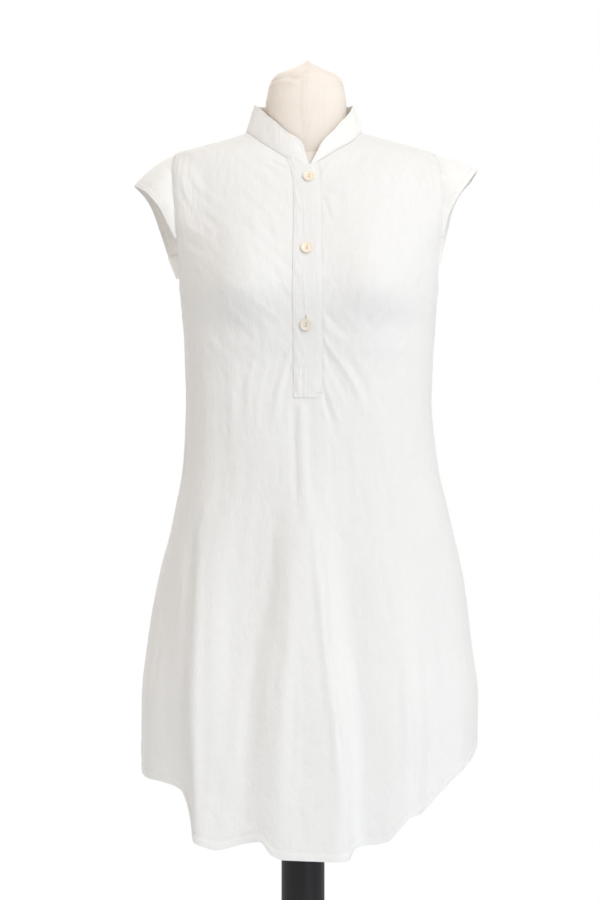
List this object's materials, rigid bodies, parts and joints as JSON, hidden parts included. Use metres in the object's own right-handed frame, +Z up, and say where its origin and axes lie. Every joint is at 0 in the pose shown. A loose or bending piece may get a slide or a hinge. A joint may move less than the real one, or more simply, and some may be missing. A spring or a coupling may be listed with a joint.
{
  "type": "tunic top on a limbless dress form",
  "caption": "Woven tunic with cap sleeves, stand collar and buttoned half placket, worn on a cloth-covered limbless dress form with a pole and a round base.",
  "frame": {"origin": "centre of the base's flat underside, on the pole's axis", "axes": "+Z up along the pole, -Y towards the tunic's front, +X towards the viewer's right"},
  "size_m": [0.4472, 0.37, 1.5055],
  "materials": {
    "linen": "washed plain weave, white",
    "button": "natural horn colour, satin",
    "form_cover": "cream jersey cover",
    "stand": "black satin"
  },
  "bodies": {
    "root": {"front_panel": "linen", "back_panel": "linen", "cap_sleeve_left": "linen", "cap_sleeve_right": "linen", "collar": "linen", "placket_over": "linen", "placket_under": "linen", "button_1": "button", "button_2": "button", "button_3": "button", "form_body": "form_cover", "form_neck": "form_cover", "pole": "stand", "base": "stand"}
  },
  "joints": []
}
